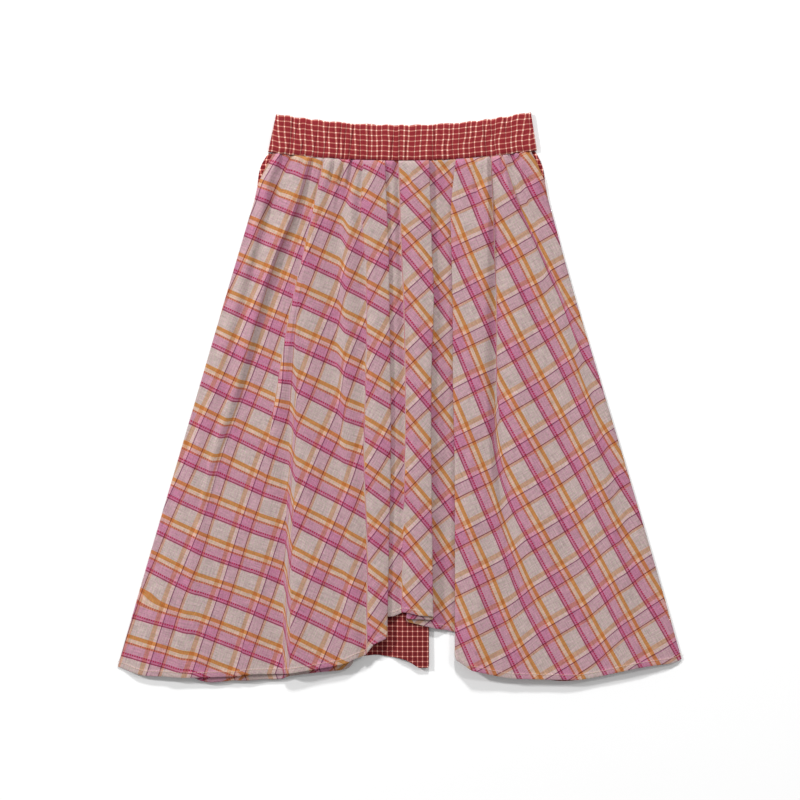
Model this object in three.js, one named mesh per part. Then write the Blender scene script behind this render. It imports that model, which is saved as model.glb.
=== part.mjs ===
import * as THREE from "three";

// A flared, gathered skirt lying flat on its back, millimetres.
// +Y runs to the waist, +Z up from the surface it lies on.

// Driving dimensions
const WALL = 1.1; // thickness the cloth is given
const SEAM_GAP = 0.3; // air between two pieces that are sewn together
const WAIST_LEVEL = 304.3; // y of the waist seam at the middle
const WAIST_RISE_LEFT = 10.9; // how much higher the seam is at the left side
const WAIST_RISE_RIGHT = 13.5; // and at the right side
const WAIST_HALF = 172; // half length of the gathered waist seam
const WAIST_MIDDLE = 5; // x of the waist's middle
const BAND_BOTTOM_HALF = 172.7; // half width of the band at the seam
const BAND_TOP_HALF = 163.7; // half width of the band at its top edge
const BAND_LEAN = 1.4; // how far the band's top edge sits to the right
const BAND_HEIGHT = 45.2; // height of the band at the middle
const BAND_SIDE_EXTRA = 3.4; // how much taller it is at the sides
const BAND_WALL = 2.3; // casing with its elastic, one side of the skirt
const BAND_PUCKERS = 27; // gathers seen across one side of the band
const BAND_PUCKER = 0.55; // half height of one pucker
const BACK_GATHER = 1.1; // height of the back's gathers under the band
const FRONT_GATHER = 1.5; // height of the front's gathers under the band
const GATHER_PITCH = 13; // spacing of the small gathers
const GATHER_LENGTH = 0.09; // share of the length over which they die out

// Every path below is read at five places down the skirt, waist to hem.
const STATIONS = [0, 0.1, 0.3, 0.6, 1];
// Rows of the mesh from the waist to the hem.
const DOWN = [0, 0.02, 0.05, 0.1, 0.17, 0.25, 0.34, 0.44, 0.54, 0.64, 0.74, 0.84, 0.93, 1];

// Soft folds: x across, z of the cloth's middle, and where the hem ends there.
const LEFT_LOBE = [
  { name: "side seam", x: [-164, -187.5, -226, -283.5, -361], z: [2.0, 2.0, 2.0, 2.1, 2.6], hem: -346 },
  { name: "side swell", x: [-155, -174, -208, -258, -330], z: [3.4, 4.4, 5.0, 6.0, 6.5], hem: -356.5 },
  { name: "waist dip", x: [-141, -164, -200, -246, -300], z: [2.6, 3.2, 5.0, 6.6, 8.0], hem: -357.5 },
  { name: "low crest", x: [-127, -141, -184, -228, -266], z: [4.6, 6.5, 7.6, 8.2, 9.0], hem: -360 },
  { name: "long valley", x: [-108, -123, -160, -214, -232], z: [2.8, 3.4, 4.4, 6.0, 8.5], hem: -365 },
  { name: "first step foot", x: [-98, -112, -141, -176, -208], z: [2.8, 3.4, 4.8, 7.0, 8.5], hem: -364 },
  { name: "first step top", x: [-92, -106, -134, -166, -196], z: [6.6, 8.6, 9.6, 9.2, 9.5], hem: -363.5 },
  { name: "first fall", x: [-80, -92, -114, -151, -168], z: [4.2, 6.4, 7.6, 7.6, 9.0], hem: -361 },
  { name: "second step foot", x: [-74, -84, -104, -141, -145], z: [3.8, 6.0, 7.2, 5.4, 5.4], hem: -356.3 },
  { name: "second step top", x: [-68, -78, -96, -132, -134], z: [4.4, 6.0, 7.2, 12.0, 14.0], hem: -355 },
  { name: "third step foot", x: [-61, -70, -80, -104, -104], z: [2.8, 5.0, 5.8, 9.6, 12.0], hem: -351.5 },
  { name: "third step top", x: [-54, -61, -71, -88, -84], z: [6.0, 9.6, 11.6, 11.2, 12.0], hem: -347.5 },
  { name: "fourth step foot", x: [-46, -50, -44, -48, -50], z: [3.6, 5.4, 6.6, 6.6, 8.0], hem: -330 },
  { name: "fourth step top", x: [-38, -41, -33, -36, -37], z: [6.4, 9.4, 12.4, 14.6, 15.4], hem: -316.5 },
];
// Where the left lobe ends and the centre starts: a fold over to the right.
const LEFT_TUCK = {
  side: 1,
  edge: [-17, -13.5, -11, -11, -15],
  depth: [3.4, 6, 12, 19, 26],
  top: [6.6, 8.0, 9.6, 10.6, 11.2],
  gap: [2.2, 2.6, 3.2, 3.4, 3.6],
  hem: [-309.4, -306, -302, -292, -288, -284],
};
const CENTRE_DIP = [
  { name: "hollow", x: [-9, -6.5, -3.5, -2.5, -5.5], z: [4.4, 5.4, 6.4, 7.6, 8.0], hem: -279 },
  { name: "dark valley", x: [-1, 3, 6, 8, 4.5], z: [2.6, 2.8, 3.4, 5.0, 7.6], hem: -273 },
  { name: "rise", x: [7, 11, 14, 16, 12.5], z: [5.8, 7.4, 9.0, 11.4, 13.0], hem: -268.5 },
  { name: "raised fold", x: [20, 23, 26, 28, 26], z: [7.0, 8.8, 10.4, 12.2, 13.6], hem: -274 },
];
const CENTRE_TUCK = {
  side: 1,
  edge: [41, 42, 45.5, 44.5, 44.5],
  depth: [3.4, 7, 12, 20, 29],
  top: [6.8, 8.0, 9.6, 11.2, 12.7],
  gap: [2.2, 2.5, 2.7, 2.6, 2.6],
  hem: [-280, -286, -295, -284, -288, -290],
};
const CENTRE_STRIP = [
  { name: "strip over the back's fold", x: [47, 48, 51, 50, 48.5], z: [2.4, 3.0, 4.1, 5.6, 6.9], hem: -297 },
  { name: "strip", x: [57, 57, 60, 61, 61], z: [2.2, 2.4, 2.4, 2.6, 3.2], hem: -299 },
];
// Where the right lobe covers the centre: a fold over to the left.
const RIGHT_TUCK = {
  side: -1,
  edge: [69, 67, 69, 73, 73],
  depth: [3.4, 7, 13, 20, 28],
  top: [6.6, 7.4, 8.6, 9.6, 10.4],
  gap: [2.2, 2.5, 3.0, 3.4, 3.7],
  hem: [-306, -308, -311, -321, -326, -330.6],
};
const RIGHT_LOBE = [
  { name: "lobe crest", x: [88, 89, 91, 92, 94], z: [6.6, 9.0, 11.4, 13.6, 14.6], hem: -349 },
  { name: "fall top", x: [112, 115, 114, 119, 150], z: [7.0, 10.0, 12.4, 12.6, 11.0], hem: -359.5 },
  { name: "fall foot", x: [121, 122, 128, 130, 166], z: [2.8, 3.4, 4.2, 5.4, 9.6], hem: -361 },
  { name: "inner swell", x: [132, 136, 147, 160, 196], z: [4.6, 6.6, 8.2, 9.6, 9.0], hem: -362 },
  { name: "inner hollow", x: [137, 150, 176, 200, 228], z: [4.4, 6.4, 6.6, 7.0, 7.4], hem: -362.7 },
  { name: "hip fall top", x: [143, 165, 204, 236, 262], z: [6.8, 8.8, 7.2, 8.6, 11.2], hem: -359 },
  { name: "hip fall foot", x: [150, 173, 213, 252, 292], z: [2.8, 3.2, 4.0, 7.0, 12.2], hem: -352 },
  { name: "side swell", x: [162, 182, 218, 268, 326], z: [4.0, 4.2, 4.0, 5.0, 8.0], hem: -344 },
  { name: "side seam", x: [172, 193.7, 229.5, 287.6, 361.5], z: [2.0, 2.0, 2.0, 2.1, 2.6], hem: -331 },
];

// The back rests on the surface and has one deep fold that shows at the hem.
const BACK_LEFT = [
  { name: "side seam", x: [-170, -189.5, -226.6, -283.6, -360.5], z: [0.55, 0.55, 0.55, 0.55, 0.55], hem: -344 },
  { name: "lobe middle", x: [-120, -128, -150, -190, -250], z: [0.55, 0.55, 0.55, 0.55, 0.55], hem: -354 },
  { name: "lobe inside", x: [-60, -64, -80, -105, -130], z: [0.55, 0.55, 0.55, 0.55, 0.55], hem: -344 },
  { name: "notch corner", x: [-26, -28, -32, -34, -32], z: [0.55, 0.55, 0.55, 0.55, 0.55], hem: -331 },
  { name: "rise foot", x: [-8, -10, -10, -12, -13], z: [0.55, 0.55, 0.55, 0.55, 0.7], hem: -333 },
  { name: "rise top", x: [10, 10, 12, 12, 9], z: [0.55, 0.55, 1.5, 3.4, 5.35], hem: -337.5 },
  { name: "folded part", x: [22, 22, 26, 27, 26], z: [0.55, 0.55, 1.5, 3.4, 5.35], hem: -347.5 },
];
const BACK_TUCK = {
  side: 1,
  edge: [41, 42, 44, 43, 39],
  depth: [-14, -14, -14, -2, 27],
  top: [0.55, 0.55, 1.5, 3.4, 5.35],
  gap: [0, 0, 0.47, 1.42, 2.4],
  open: [1, 1, 1, 0.9, 0],
  hem: [-347.3, -344, -340, -312, -300, -290],
};
const BACK_RIGHT = [
  { name: "under the notch", x: [66, 66, 68, 68, 66], z: [0.55, 0.55, 0.55, 0.55, 0.55], hem: -286 },
  { name: "lobe inside", x: [84, 86, 92, 98, 104], z: [0.55, 0.55, 0.55, 0.55, 0.55], hem: -330 },
  { name: "lobe middle", x: [120, 128, 150, 190, 205], z: [0.55, 0.55, 0.55, 0.55, 0.55], hem: -364.5 },
  { name: "lobe outside", x: [150, 164, 190, 235, 290], z: [0.55, 0.55, 0.55, 0.55, 0.55], hem: -347 },
  { name: "side seam", x: [177.5, 195.5, 230, 287.8, 361], z: [0.55, 0.55, 0.55, 0.55, 0.55], hem: -329.5 },
];

function waistY(x) {
  const rise = x < WAIST_MIDDLE ? WAIST_RISE_LEFT : WAIST_RISE_RIGHT;
  return WAIST_LEVEL + rise * ((x - WAIST_MIDDLE) / WAIST_HALF) ** 2;
}

// Smooth reading of a five-station path at a share v of the length.
function along(path, v) {
  let k = 0;
  while (k < 3 && v > STATIONS[k + 1]) k += 1;
  const span = STATIONS[k + 1] - STATIONS[k];
  const t = (v - STATIONS[k]) / span;
  const slope = (i) => {
    const a = Math.max(i - 1, 0);
    const b = Math.min(i + 1, 4);
    return (path[b] - path[a]) / (STATIONS[b] - STATIONS[a]);
  };
  const h1 = 2 * t ** 3 - 3 * t ** 2 + 1;
  const h2 = t ** 3 - 2 * t ** 2 + t;
  const h3 = 3 * t ** 2 - 2 * t ** 3;
  const h4 = t ** 3 - t ** 2;
  return h1 * path[k] + h2 * span * slope(k) + h3 * path[k + 1] + h4 * span * slope(k + 1);
}

function mix(a, b, t) {
  return a + (b - a) * t;
}

// Rows between two soft folds, eased so that crests and valleys are round.
function soften(rows, steps) {
  const out = [];
  for (let i = 0; i < rows.length - 1; i += 1) {
    const a = rows[i];
    const b = rows[i + 1];
    for (let s = 0; s < steps; s += 1) {
      const t = s / steps;
      const eased = (1 - Math.cos(Math.PI * t)) / 2;
      out.push({
        x: a.x.map((value, k) => mix(value, b.x[k], t)),
        z: a.z.map((value, k) => mix(value, b.z[k], eased)),
        hem: mix(a.hem, b.hem, t),
      });
    }
  }
  out.push(rows[rows.length - 1]);
  return out;
}

// A fold that lies over on itself: down round one roll, back, round another.
function tuck(spec) {
  const turns = 5;
  const rows = [];
  const place = (roll, share, hem) => {
    const x = spec.edge.map((edge, k) => {
      const radius = spec.gap[k] / 2;
      const bulge = radius * Math.sin(Math.PI * share);
      const outer = edge - spec.side * (radius - bulge);
      const inner = edge - spec.side * (spec.depth[k] - radius + bulge);
      const shut = roll === 0 ? outer : inner;
      const order = (roll * (turns + 1) + share * turns) / (2 * turns + 1);
      const flat = edge + spec.side * (order * 14 - 7);
      return spec.open ? mix(shut, flat, spec.open[k]) : shut;
    });
    const z = spec.top.map((top, k) => {
      const radius = spec.gap[k] / 2;
      return top - spec.gap[k] * roll - radius * (1 - Math.cos(Math.PI * share));
    });
    return { x, z, hem };
  };
  for (let i = 0; i <= turns; i += 1) {
    rows.push(place(0, i / turns, mix(spec.hem[0], spec.hem[2], i / turns)));
  }
  for (let i = 0; i <= turns; i += 1) {
    rows.push(place(1, i / turns, mix(spec.hem[3], spec.hem[5], i / turns)));
  }
  return spec.side > 0 ? rows : rows.reverse();
}

function joinRows(...groups) {
  return groups.flat();
}

// The right-hand fold is met from below, so its hem list runs the other way.
function turned(spec) {
  return { ...spec, hem: [...spec.hem].reverse() };
}

// The cloth's middle surface as a grid: one line per row of the mesh.
function middle(rows, gather, lift) {
  return DOWN.map((v) => rows.map((row) => {
    const x = along(row.x, v);
    const fade = Math.exp(-((v / GATHER_LENGTH) ** 2));
    const ripple = 0.5 + 0.5 * Math.sin((2 * Math.PI * row.x[0]) / GATHER_PITCH);
    const z = along(row.z, v) + fade * (lift + gather * ripple);
    const y = mix(waistY(row.x[0]) - SEAM_GAP / 2, row.hem, v);
    return new THREE.Vector3(x, y, z);
  }));
}

function normalAt(grid, i, j) {
  const up = grid[Math.max(i - 1, 0)][j];
  const low = grid[Math.min(i + 1, grid.length - 1)][j];
  const left = grid[i][Math.max(j - 1, 0)];
  const right = grid[i][Math.min(j + 1, grid[i].length - 1)];
  const across = new THREE.Vector3().subVectors(right, left);
  const down = new THREE.Vector3().subVectors(up, low);
  return across.cross(down).normalize();
}

// A closed wall between an upper and a lower grid.
function wallBetween(upper, lower) {
  const rows = upper.length;
  const columns = upper[0].length;
  const positions = [];
  const faces = [];
  for (const grid of [upper, lower]) {
    for (const line of grid) {
      for (const point of line) positions.push(point.x, point.y, point.z);
    }
  }
  const top = (i, j) => i * columns + j;
  const under = (i, j) => rows * columns + i * columns + j;
  for (let i = 0; i < rows - 1; i += 1) {
    for (let j = 0; j < columns - 1; j += 1) {
      faces.push(top(i, j), top(i + 1, j), top(i + 1, j + 1));
      faces.push(top(i, j), top(i + 1, j + 1), top(i, j + 1));
      faces.push(under(i, j), under(i + 1, j + 1), under(i + 1, j));
      faces.push(under(i, j), under(i, j + 1), under(i + 1, j + 1));
    }
  }
  const rim = [];
  for (let j = 0; j < columns - 1; j += 1) rim.push([0, j]);
  for (let i = 0; i < rows - 1; i += 1) rim.push([i, columns - 1]);
  for (let j = columns - 1; j > 0; j -= 1) rim.push([rows - 1, j]);
  for (let i = rows - 1; i > 0; i -= 1) rim.push([i, 0]);
  for (let k = 0; k < rim.length; k += 1) {
    const [i, j] = rim[k];
    const [m, n] = rim[(k + 1) % rim.length];
    faces.push(top(i, j), top(m, n), under(m, n));
    faces.push(top(i, j), under(m, n), under(i, j));
  }
  const shape = new THREE.BufferGeometry();
  shape.setAttribute("position", new THREE.Float32BufferAttribute(positions, 3));
  shape.setIndex(faces);
  shape.computeVertexNormals();
  return shape;
}

function wallAround(grid, thickness) {
  const half = thickness / 2;
  const shift = (amount) => grid.map((line, i) => line.map((point, j) => (
    point.clone().addScaledVector(normalAt(grid, i, j), amount)
  )));
  return wallBetween(shift(half), shift(-half));
}

// One side of the waistband: gathered casing, flat below where it rests.
function band(level, puckerBelow) {
  const columns = BAND_PUCKERS * 4;
  const heights = [0, 0.08, 0.92, 1];
  const slim = [0.62, 1, 1, 0.62];
  const upper = [];
  const lower = [];
  heights.forEach((down, i) => {
    const topLine = [];
    const underLine = [];
    for (let j = 0; j <= columns; j += 1) {
      const side = (2 * j) / columns - 1;
      const half = mix(BAND_TOP_HALF, BAND_BOTTOM_HALF, down);
      const x = WAIST_MIDDLE + BAND_LEAN * (1 - down) + side * half;
      const seam = waistY(WAIST_MIDDLE + side * BAND_BOTTOM_HALF) + SEAM_GAP / 2;
      const height = BAND_HEIGHT + BAND_SIDE_EXTRA * side * side;
      const y = seam + height * (1 - down);
      const wave = Math.sin((2 * Math.PI * j) / 4 + 0.6) * BAND_PUCKER;
      const round = Math.sqrt(Math.max(1 - side ** 20, 0.16));
      const thick = (BAND_WALL * slim[i] * round) / 2;
      const base = level + BAND_WALL / 2;
      topLine.push(new THREE.Vector3(x, y, base + thick + wave * round));
      underLine.push(new THREE.Vector3(x, y, puckerBelow ? base - thick + wave * round : level));
    }
    upper.push(topLine);
    lower.push(underLine);
  });
  return wallBetween(upper, lower);
}

function piece(name, shape, colour, roughness) {
  const surface = new THREE.MeshStandardMaterial({ color: colour, roughness, metalness: 0 });
  const mesh = new THREE.Mesh(shape, surface);
  mesh.name = name;
  return mesh;
}

const frontRows = joinRows(
  soften(LEFT_LOBE, 3),
  tuck(LEFT_TUCK),
  soften(CENTRE_DIP, 3),
  tuck(CENTRE_TUCK),
  soften(CENTRE_STRIP, 2),
  tuck(turned(RIGHT_TUCK)),
  soften(RIGHT_LOBE, 3),
);
const backRows = joinRows(
  soften(BACK_LEFT, 3),
  tuck(BACK_TUCK),
  soften(BACK_RIGHT, 3),
);

const skirt = new THREE.Group();
skirt.name = "skirt";
skirt.add(piece("front_panel", wallAround(middle(frontRows, FRONT_GATHER, BACK_GATHER), WALL), 0xb49099, 0.9));
skirt.add(piece("back_panel", wallAround(middle(backRows, BACK_GATHER, 0), WALL), 0x9e2d34, 0.9));
skirt.add(piece("waistband_front", band(BAND_WALL + SEAM_GAP, true), 0x9e2d34, 0.9));
skirt.add(piece("waistband_back", band(0, false), 0x9e2d34, 0.9));

// Centre the whole on the origin, resting on z = 0.
const box = new THREE.Box3().setFromObject(skirt);
const centre = box.getCenter(new THREE.Vector3());
for (const mesh of skirt.children) mesh.geometry.translate(-centre.x, -centre.y, -box.min.z);

export default skirt;
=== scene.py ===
import math

import bpy
import numpy as np
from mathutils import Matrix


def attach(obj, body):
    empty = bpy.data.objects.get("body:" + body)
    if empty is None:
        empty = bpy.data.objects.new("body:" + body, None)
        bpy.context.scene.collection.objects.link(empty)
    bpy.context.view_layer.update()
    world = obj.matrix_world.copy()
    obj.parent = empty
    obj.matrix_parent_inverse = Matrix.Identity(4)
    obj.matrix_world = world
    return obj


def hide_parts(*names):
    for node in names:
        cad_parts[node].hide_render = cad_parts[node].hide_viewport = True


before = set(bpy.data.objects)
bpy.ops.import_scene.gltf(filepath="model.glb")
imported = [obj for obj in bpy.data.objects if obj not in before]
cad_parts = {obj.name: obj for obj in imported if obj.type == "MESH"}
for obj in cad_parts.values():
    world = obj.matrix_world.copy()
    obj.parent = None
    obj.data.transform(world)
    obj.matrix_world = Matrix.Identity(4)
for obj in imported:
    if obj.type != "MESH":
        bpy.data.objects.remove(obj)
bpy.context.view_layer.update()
print("frame loaded")

# A flared skirt in a bias plaid, lying flat. Tables are in millimetres, x to the
# right and y to the waist, and everything becomes metres in the mesh.
mm = 0.001
centring = np.array([0.25, 0.83, 0])  # how far the model's own middle lies from the tables' zero

waist = {
    "level": 304.3,  # y of the waist seam at the middle
    "riseLeft": 10.9,  # how much higher it is at the left side
    "riseRight": 13.5,
    "half": 172.0,
    "middle": 5.0,
}


def waistLine(x):
    rise = np.where(x < waist["middle"], waist["riseLeft"], waist["riseRight"])
    return waist["level"] + rise * ((x - waist["middle"]) / waist["half"]) ** 2


# Each line runs down the skirt from waist to hem, and is read at these shares.
stations = np.array([0, 0.1, 0.2, 0.3, 0.45, 0.6, 0.8, 1.0])

onSurface = [0.3] * len(stations)  # z of cloth that lies on the surface


# A fold line: the strip of plaid it belongs to, y of its end at the hem, x and z.
def fold(name, strip, hem, x, z=onSurface):
    return dict(name=name, strip=strip, hem=hem, x=x, z=z)


leftLobe = [
    fold("side seam", 0, -346, x=[-163.7, -186.6, -206.5, -226, -255, -284, -323, -361],
         z=[0.8, 0.8, 0.8, 0.8, 0.8, 0.9, 1.0, 1.2]),
    fold("side swell", 0, -356.8, x=[-155, -174, -192, -210, -235, -261, -296, -330],
         z=[3.6, 6.6, 6.8, 6.2, 5.8, 5.8, 6.2, 5.5]),
    fold("waist dip", 0, -358, x=[-143, -163, -181, -200, -223, -247, -276, -302],
         z=[1.4, 1.6, 2.4, 3.8, 5.2, 6.4, 7.0, 6.6]),
    fold("low crest", 0, -359.5, x=[-118, -135, -162, -182, -210, -243, -266, -284],
         z=[5.8, 9.0, 10.0, 9.8, 9.4, 9.0, 9.2, 8.8]),
    fold("long valley", 1, -359.5, x=[-107, -125.6, -153, -171, -197, -229, -247, -262],
         z=[1.8, 2.0, 2.2, 2.6, 3.8, 6.2, 8.4, 8.4]),
    fold("first step foot", 1, -357.6, x=[-96, -110.3, -125.2, -140.3, -157.3, -172, -190, -205],
         z=[2.2, 3.0, 3.6, 4.4, 5.8, 7.8, 8.8, 8.4]),
    fold("first step lip", 2, -357.3, x=[-94.7, -109, -123.9, -139, -156, -170.5, -188.5, -203.5],
         z=[3.8, 5.0, 5.8, 6.4, 6.9, 7.9, 8.8, 8.4]),
    fold("first step top", 2, -355.6, x=[-90, -104, -118.5, -133, -150.5, -165, -184, -198],
         z=[6.6, 9.2, 10.2, 10.2, 8.4, 8.2, 9.0, 8.4]),
    fold("second step foot", 2, -355, x=[-88.9, -102.9, -117.3, -131.4, -139, -141.5, -147, -149.5],
         z=[6.5, 9.0, 10.0, 9.8, 6.4, 5.4, 5.6, 5.2]),
    fold("second step rise", 3, -353.6, x=[-88, -102, -116.3, -129.5, -130, -131.5, -137, -139.5],
         z=[6.4, 8.9, 9.9, 10.0, 10.4, 11.6, 13.0, 12.8]),
    fold("second step top", 3, -352.6, x=[-80, -92, -106, -119, -122, -124, -130, -132],
         z=[5.4, 7.6, 8.6, 9.4, 10.8, 12.2, 14.0, 13.8]),
    fold("third step foot", 3, -341, x=[-57.5, -71.7, -76.8, -79.4, -79.4, -76, -72, -68],
         z=[2.8, 4.6, 5.2, 5.6, 6.4, 8.4, 11.0, 12.0]),
    fold("third step top", 4, -336, x=[-50.5, -61, -65, -67.5, -67.5, -66, -62, -58],
         z=[5.8, 9.0, 10.4, 11.0, 10.6, 9.6, 11.2, 12.2]),
    fold("fourth step foot", 4, -330, x=[-46, -49, -43.2, -41.5, -43, -45, -41, -42],
         z=[3.4, 5.2, 5.8, 6.2, 6.4, 6.6, 7.2, 8.0]),
    fold("fourth step lip", 5, -327, x=[-44.5, -47.3, -41.5, -39.8, -41.2, -43.2, -39, -40],
         z=[4.4, 6.6, 7.6, 8.4, 9.4, 10.0, 11.0, 11.6]),
    fold("fourth step top", 5, -316.5, x=[-38, -40, -34, -32, -32.5, -34, -31, -32],
         z=[6.0, 8.8, 10.8, 11.8, 12.8, 13.4, 14.4, 15.0]),
]
# A fold that lies over on itself: the way it faces, x of its edge, how deep it
# goes, z of its top layer and the gap between layers, with y of the hem at the start
# and end of its first roll and then of its second.
leftTuck = dict(side=1, strips=(5, 6), hem=[-309.4, -302, -292, -284],
                edge=[-17.3, -15, -12.4, -11.7, -10.4, -9.7, -12, -14.8],
                depth=[3.4, 6, 9, 12, 15.5, 19, 22.5, 26],
                top=[6.6, 8.0, 9.0, 9.6, 10.2, 10.6, 11.0, 11.2],
                gap=[2.2, 2.6, 3.0, 3.2, 3.3, 3.4, 3.5, 3.6])
centreDip = [
    fold("hollow", 6, -280.5, x=[-9, -7, -5, -3.5, -3, -2.5, -4, -5.5],
         z=[4.6, 5.0, 5.4, 5.8, 6.0, 6.4, 6.8, 7.2]),
    fold("dark valley", 6, -276.8, x=[-0.6, 1.3, 3.2, 5.8, 7.7, 8.1, 5.8, 3.2],
         z=[1.6, 1.7, 1.8, 2.1, 2.8, 3.9, 4.9, 5.7]),
    fold("valley lip", 7, -275.8, x=[0.8, 2.8, 4.8, 7.4, 9.3, 9.7, 7.4, 4.8],
         z=[2.7, 3.0, 3.4, 3.8, 4.3, 5.2, 6.6, 7.8]),
    fold("rise", 7, -276, x=[7, 9.5, 12, 14, 16, 16.3, 14, 12],
         z=[5.6, 7.0, 8.2, 9.0, 10.2, 11.2, 12.4, 13.0]),
    fold("raised fold", 7, -279.2, x=[20, 23, 25, 26, 27, 28, 27, 26],
         z=[6.8, 8.6, 9.6, 10.4, 11.4, 12.2, 13.0, 13.6]),
]
centreTuck = dict(side=1, strips=(7, 8), hem=[-280.4, -285, -284, -288],
                  edge=[39.2, 41, 43, 45.3, 42.5, 41.8, 43, 44.3],
                  depth=[3.4, 7, 9.5, 12, 16, 20, 26, 34],
                  top=[6.8, 8.0, 9.0, 9.6, 10.5, 11.2, 12.0, 12.7],
                  gap=[2.2, 2.5, 2.6, 2.7, 2.7, 2.6, 2.6, 2.6])
centreStrip = [
    fold("strip over the back's fold", 8, -297, x=[45, 47, 49, 50.5, 49, 48, 48, 48.5],
         z=[2.0, 2.6, 3.2, 3.8, 4.8, 5.4, 6.2, 6.7]),
    fold("strip", 8, -299, x=[57, 57, 58, 60, 60.5, 61, 61, 61],
         z=[1.8, 1.9, 2.0, 2.0, 2.1, 2.2, 2.5, 2.8]),
]
rightTuck = dict(side=-1, strips=(8, 9), hem=[-337, -324, -312, -306],
                 edge=[73.8, 67.5, 68.3, 69.6, 70, 71.9, 72.5, 72.5],
                 depth=[3.4, 7, 10, 13, 16.5, 20, 24, 28],
                 top=[6.6, 7.4, 8.0, 8.6, 9.1, 9.6, 10.0, 10.4],
                 gap=[2.2, 2.5, 2.8, 3.0, 3.2, 3.4, 3.6, 3.7])
rightLobe = [
    fold("lobe crest", 9, -350, x=[90, 89, 90, 91, 91.5, 92, 93, 94],
         z=[6.4, 8.8, 10.2, 11.2, 12.4, 13.2, 14.2, 14.4]),
    fold("fall top", 9, -360, x=[112, 114, 112.8, 109, 110, 118, 134, 142],
         z=[6.6, 9.6, 11.2, 12.0, 12.4, 12.2, 11.4, 11.2]),
    fold("fall foot", 9, -361, x=[118.4, 120.8, 123.2, 125.4, 125.4, 127.4, 153, 165],
         z=[2.4, 2.9, 3.4, 3.8, 4.6, 6.4, 9.6, 10.2]),
    fold("fall foot outside", 9, -361.2, x=[119.8, 122.2, 124.6, 126.8, 126.8, 129.2, 157, 170],
         z=[2.2, 2.6, 3.0, 3.4, 4.2, 6.0, 9.4, 10.1]),
    fold("inner swell", 9, -362, x=[125, 131, 140, 147, 154, 164, 186, 202],
         z=[4.4, 6.4, 7.4, 8.0, 8.8, 9.4, 10.2, 9.6]),
    fold("inner hollow", 9, -361.5, x=[127.5, 140, 161, 176, 190, 206, 224, 238],
         z=[5.2, 7.2, 7.6, 7.0, 6.8, 7.0, 8.0, 8.2]),
    fold("hip fall top", 9, -346.8, x=[130, 150, 179, 206, 230, 256, 284, 310],
         z=[6.8, 9.2, 9.0, 7.8, 7.8, 8.4, 9.2, 8.8]),
    fold("hip fall foot", 9, -343.5, x=[133.4, 154.9, 185.4, 213.4, 239.4, 266.4, 299.4, 335],
         z=[2.0, 2.6, 3.4, 4.2, 5.0, 5.2, 5.4, 5.4]),
    fold("hip fall outside", 9, -343.3, x=[134.7, 156.2, 186.7, 214.7, 240.7, 267.7, 300.7, 336.4],
         z=[1.8, 2.4, 3.2, 4.0, 4.8, 5.0, 5.2, 5.2]),
    fold("hip low", 9, -341.5, x=[148, 170, 196, 220, 249, 278, 315, 351],
         z=[3.6, 3.6, 3.0, 2.4, 2.8, 3.2, 3.6, 3.6]),
    fold("side swell", 9, -339, x=[160, 182, 204, 225.5, 255, 284, 322, 358.5],
         z=[4.4, 4.4, 3.6, 2.0, 2.2, 2.4, 2.6, 2.6]),
    fold("side seam", 9, -336, x=[173, 193.2, 211, 229.4, 259, 288.3, 327, 364],
         z=[0.8, 0.8, 0.8, 0.8, 0.8, 0.9, 1.0, 1.2]),
]
# Where one strip of plaid passes into the next on the right lobe, and half the
# width of the cloth that it takes: sharp where a fold hides some, wide where not.
rightZones = [
    dict(centre=[119.1, 121.5, 123.9, 126.1, 126.1, 128.3, 152, 165],
         half=[0.7, 0.7, 0.7, 0.7, 0.9, 11, 25, 28]),
    dict(centre=[134, 155.5, 183, 196, 212, 231, 254, 274],
         half=[0.65, 0.65, 3.5, 14, 20, 24, 28, 30]),
    dict(centre=[134, 155.5, 186, 214, 240, 267, 300, 330],
         half=[0.65, 0.65, 0.65, 4, 8, 10, 12, 14]),
]

# The back lies on the surface, with one deep fold that shows at the hem.
backLeft = [
    fold("side seam", 0, -344, x=[-162.2, -185.1, -205, -224.5, -253.5, -282.5, -321.5, -359.5]),
    fold("lobe middle", 0, -354, x=[-120, -128, -139, -150, -170, -190, -220, -250]),
    fold("lobe inside", 0, -344, x=[-60, -64, -72, -80, -92, -105, -118, -130]),
    fold("notch corner", 0, -331, x=[-26, -28, -30, -32, -33, -34, -33, -32]),
    fold("rise foot", 0, -333, x=[-8, -10, -10, -10, -11, -12, -13, -13],
         z=[0.3, 0.3, 0.3, 0.3, 0.3, 0.3, 0.4, 0.5]),
    fold("rise top", 0, -337.5, x=[10, 10, 11, 12, 12, 12, 10, 9],
         z=[0.3, 0.3, 0.6, 1.0, 1.8, 2.8, 3.8, 4.7]),
    fold("folded part", 0, -347.5, x=[22, 22, 24, 26, 27, 27, 27, 26],
         z=[0.3, 0.3, 0.6, 1.0, 1.8, 2.8, 3.8, 4.7]),
]
backTuck = dict(side=1, strips=(0, 1), hem=[-347.3, -340, -312, -290],
                edge=[41, 42, 43, 44, 43.5, 43, 41, 39],
                depth=[-14, -14, -14, -14, -8, -2, 12, 27],
                top=[0.3, 0.3, 0.6, 1.0, 1.8, 2.8, 3.8, 4.7],
                gap=[0, 0, 0.1, 0.3, 0.7, 1.2, 1.8, 2.2],
                open=[1, 1, 1, 1, 0.95, 0.9, 0.5, 0])
backRight = [
    fold("under the notch", 1, -286, x=[66, 66, 67, 68, 68, 68, 67, 66]),
    fold("lobe inside", 1, -330, x=[84, 86, 89, 92, 95, 98, 101, 104]),
    fold("lobe middle", 1, -364.5, x=[120, 128, 139, 150, 170, 190, 198, 205]),
    fold("lobe outside", 1, -347, x=[150, 164, 177, 190, 212, 235, 262, 290]),
    fold("side seam", 1, -331, x=[171.5, 191.7, 209.5, 227.9, 257.5, 286.8, 324.5, 360]),
]

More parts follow.
